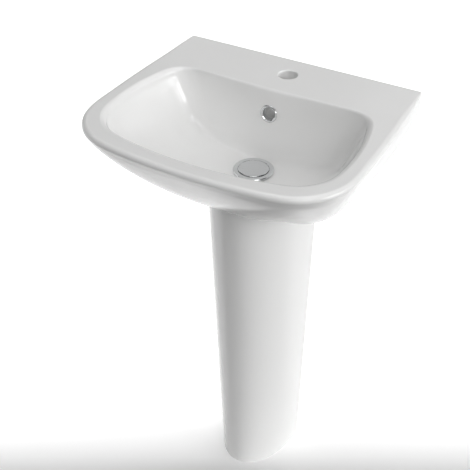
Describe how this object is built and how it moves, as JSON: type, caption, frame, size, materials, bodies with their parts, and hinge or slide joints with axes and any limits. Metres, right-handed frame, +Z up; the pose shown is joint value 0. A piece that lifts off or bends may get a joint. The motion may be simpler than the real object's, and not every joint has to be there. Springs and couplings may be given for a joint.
{
  "type": "pedestal sink",
  "caption": "Ceramic wash basin with a curved apron on a tapered hollow pedestal, with a click waste, overflow ring and bottle trap.",
  "frame": {"origin": "on the floor below the middle of the basin's width and depth", "axes": "+Z up, +Y towards the wall, +X to the right seen from the front"},
  "size_m": [0.5104, 0.438, 0.87],
  "materials": {
    "glaze": "glossy",
    "chrome": "polished",
    "white_plastic": "satin",
    "black_rubber": "matte",
    "nylon": "matte",
    "spring_steel": "satin",
    "bedding": "matte"
  },
  "bodies": {
    "sink": {"basin": "glaze", "pedestal": "glaze", "pedestal_bedding": "bedding", "floor_sleeves": "nylon", "wall_sleeves": "nylon", "overflow_ring": "chrome", "waste_body": "chrome", "click_cartridge": "nylon", "click_spring": "spring_steel", "waste_top_seal": "black_rubber", "waste_bottom_seal": "black_rubber", "waste_slip_washer": "nylon", "waste_back_nut": "white_plastic", "trap_inlet_seal": "black_rubber", "trap_body": "white_plastic", "trap_dip_tube": "white_plastic", "trap_cup_seal": "black_rubber", "trap_outlet_seal": "black_rubber", "outlet_pipe": "white_plastic"},
    "plug": {"waste_plug": "chrome", "plug_seal": "black_rubber", "plug_stem": "spring_steel"},
    "cup": {"trap_cup": "white_plastic"},
    "inlet_nut": {"trap_inlet_nut": "white_plastic"},
    "outlet_nut": {"trap_outlet_nut": "white_plastic"}
  },
  "joints": [
    {"name": "plug_click", "type": "slide", "parent": "sink", "child": "plug", "axis": [0, 0, 1], "range_m": [0, 0.008], "deforming": ["click_spring"]},
    {"name": "trap_cup_turn", "type": "hinge", "parent": "sink", "child": "cup", "pos_m": [0, 0.0315, 0.55], "axis": [0, 0, 1], "range_deg": [0, 720]},
    {"name": "inlet_nut_turn", "type": "hinge", "parent": "sink", "child": "inlet_nut", "pos_m": [0, 0.0315, 0.655], "axis": [0, 0, 1], "range_deg": [0, 1080]},
    {"name": "outlet_nut_turn", "type": "hinge", "parent": "sink", "child": "outlet_nut", "pos_m": [0, 0.0875, 0.61], "axis": [0, 1, 0], "range_deg": [0, 1080]}
  ]
}
